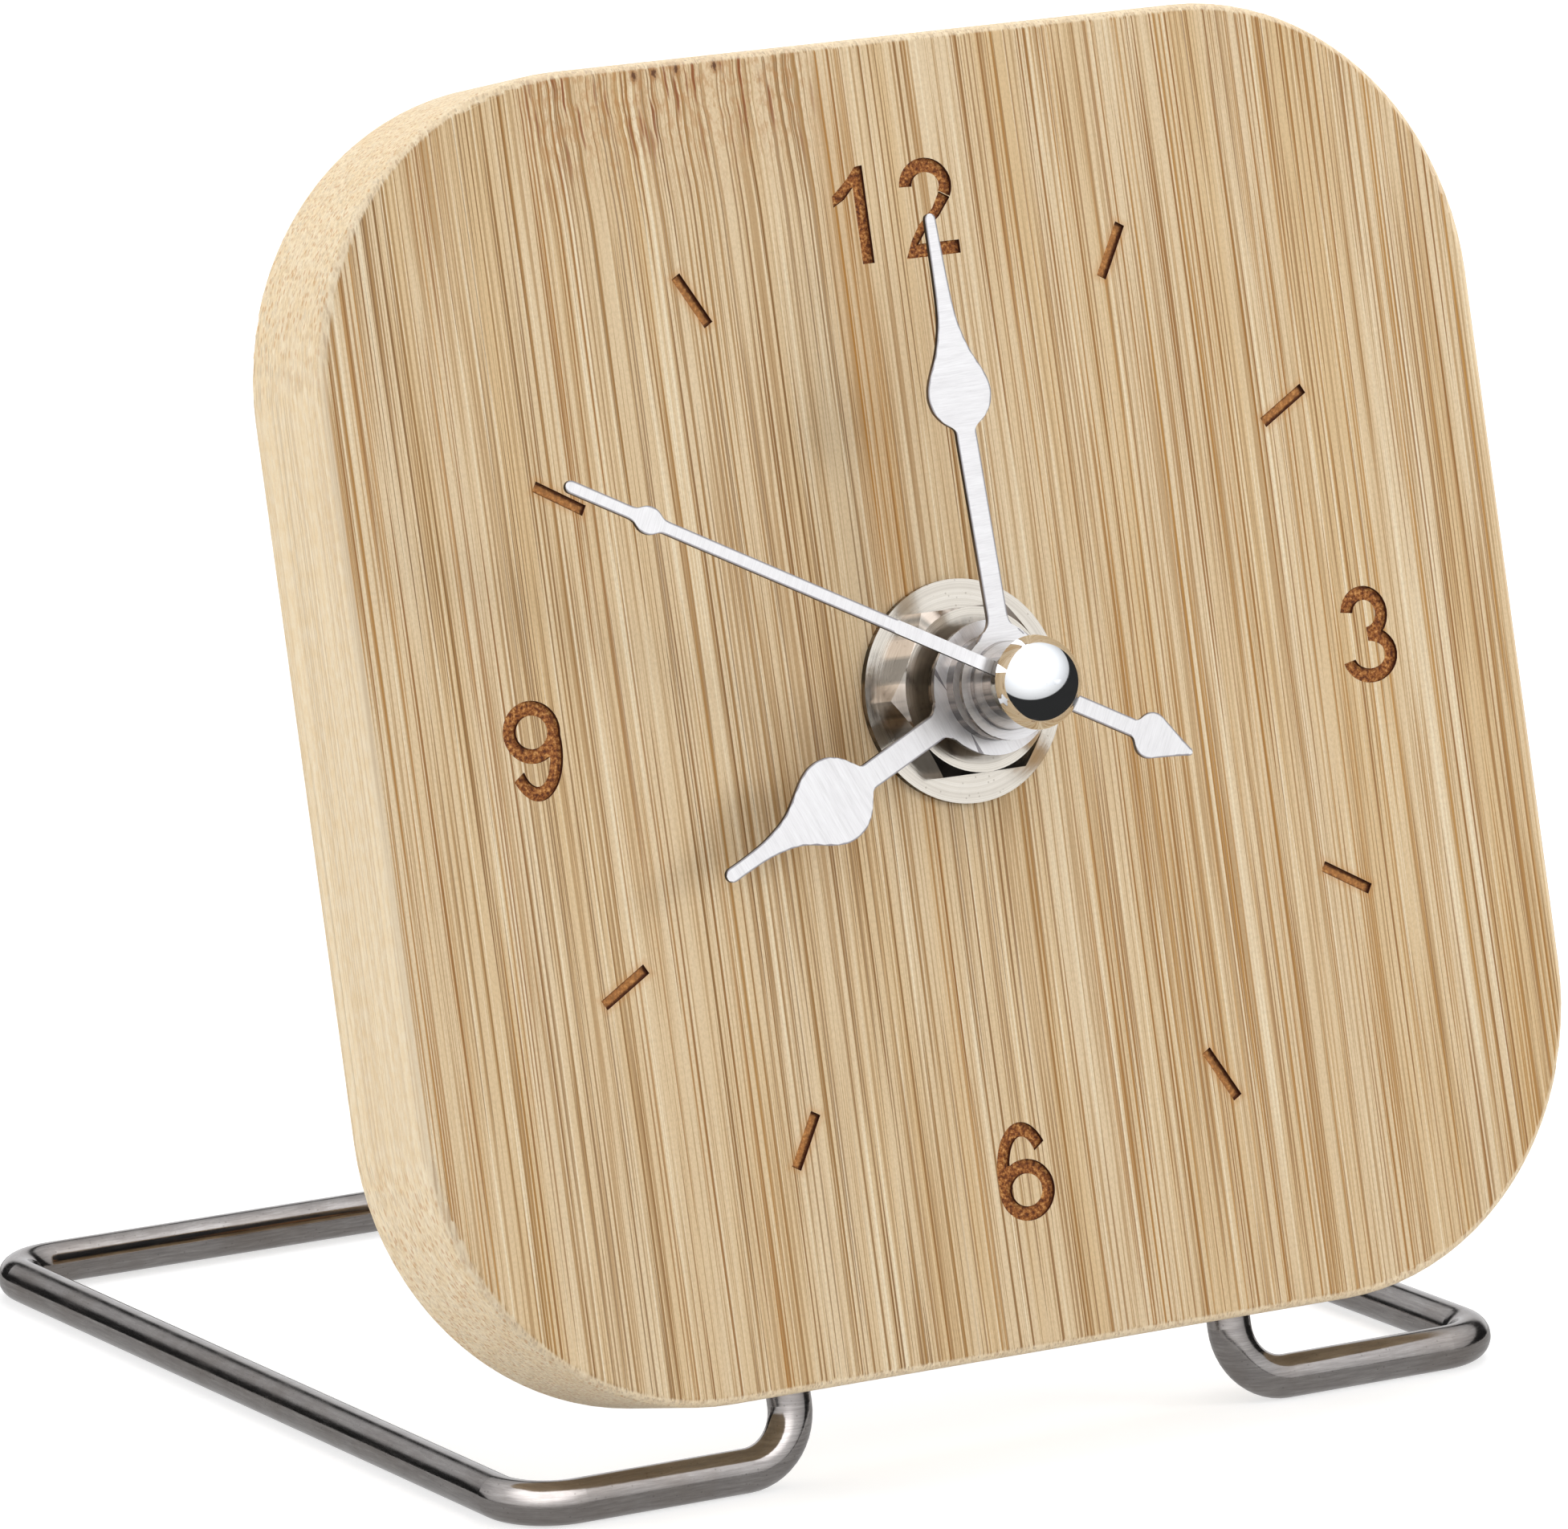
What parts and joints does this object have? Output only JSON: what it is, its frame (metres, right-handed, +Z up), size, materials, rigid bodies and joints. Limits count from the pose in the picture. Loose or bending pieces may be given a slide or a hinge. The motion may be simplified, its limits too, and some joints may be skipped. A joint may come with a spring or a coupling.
{
  "type": "desk clock",
  "caption": "Desk clock: a square bamboo plate with round corners, leaning back on a bent wire stand, with burnt numerals, three hands and a quartz movement behind.",
  "frame": {"origin": "on the table, below the middle of the box round the whole clock", "axes": "+X to the viewer's right, -Y out of the front towards the viewer, +Z up"},
  "size_m": [0.1, 0.099, 0.1058],
  "materials": {
    "bamboo": "sanded bamboo with a thin clear oil",
    "wire": "drawn stainless wire, satin",
    "gasket": "matt",
    "case": "moulded, fine texture",
    "nickel": "nickel plate, bright",
    "hands": "fine brushed",
    "cap": "mirror",
    "steel": "turned",
    "wheels": "natural acetal",
    "train_plate": "moulded",
    "iron": "soft iron sheet",
    "magnet": "sintered",
    "bobbin": "moulded",
    "copper": "enamelled wire",
    "board": "solder mask",
    "chip": "potting resin",
    "cell": "printed jacket",
    "contacts": "nickel plated spring sheet"
  },
  "bodies": {
    "frame": {"dial_plate": "bamboo", "wire_stand": "wire", "rubber_gasket": "gasket", "movement_case": "case", "movement_cover": "case", "threaded_bushing": "nickel", "flat_washer": "nickel", "hex_nut": "nickel", "middle_plate": "train_plate", "rear_bridge": "train_plate", "stator": "iron", "coil_core": "iron", "coil_bobbin": "bobbin", "coil_winding": "copper", "circuit_board": "board", "quartz_crystal": "steel", "chip": "chip", "positive_contact": "contacts", "negative_contact": "contacts"},
    "seconds_group": {"seconds_arbor": "steel", "seconds_wheel": "wheels", "seconds_hand": "hands", "centre_cap": "cap"},
    "minute_group": {"cannon_pinion": "steel", "centre_wheel": "wheels", "minute_hand": "hands", "hand_nut": "nickel"},
    "hour_group": {"hour_wheel": "wheels", "hour_hand": "hands"},
    "third_group": {"third_wheel": "wheels"},
    "fifth_group": {"fifth_wheel": "wheels"},
    "rotor_group": {"rotor_pinion": "wheels", "rotor_magnet": "magnet"},
    "setting_group": {"setting_wheel": "wheels", "setting_knob": "case"},
    "cell": {"battery": "cell", "battery_terminal": "contacts"}
  },
  "joints": [
    {"name": "seconds_spin", "type": "hinge", "parent": "frame", "child": "seconds_group", "pos_m": [0, -0.02713, 0.05562], "axis": [0, 0.9763, -0.2164], "continuous": true},
    {"name": "minute_spin", "type": "hinge", "parent": "frame", "child": "minute_group", "pos_m": [0, -0.02713, 0.05562], "axis": [0, 0.9763, -0.2164], "continuous": true},
    {"name": "hour_spin", "type": "hinge", "parent": "frame", "child": "hour_group", "pos_m": [0, -0.02713, 0.05562], "axis": [0, 0.9763, -0.2164], "continuous": true},
    {"name": "third_spin", "type": "hinge", "parent": "frame", "child": "third_group", "pos_m": [-0.00125, -0.02559, 0.06254], "axis": [0, 0.9763, -0.2164], "continuous": true},
    {"name": "fifth_spin", "type": "hinge", "parent": "frame", "child": "fifth_group", "pos_m": [0.00729, -0.0274, 0.05437], "axis": [0, 0.9763, -0.2164], "continuous": true},
    {"name": "rotor_spin", "type": "hinge", "parent": "frame", "child": "rotor_group", "pos_m": [0.01089, -0.02648, 0.05856], "axis": [0, 0.9763, -0.2164], "continuous": true},
    {"name": "setting_spin", "type": "hinge", "parent": "frame", "child": "setting_group", "pos_m": [-0.00827, -0.02744, 0.0542], "axis": [0, 0.9763, -0.2164], "continuous": true},
    {"name": "battery_slide", "type": "slide", "parent": "frame", "child": "cell", "axis": [0, 0.9763, -0.2164], "range_m": [0, 0.02]}
  ],
  "couplings": [
    {"joint": "fifth_spin", "follows": "seconds_spin", "ratio": -5},
    {"joint": "rotor_spin", "follows": "seconds_spin", "ratio": 30},
    {"joint": "third_spin", "follows": "seconds_spin", "ratio": -0.13333},
    {"joint": "minute_spin", "follows": "seconds_spin", "ratio": 0.016667},
    {"joint": "setting_spin", "follows": "seconds_spin", "ratio": -0.0055556},
    {"joint": "hour_spin", "follows": "seconds_spin", "ratio": 0.0013889}
  ]
}
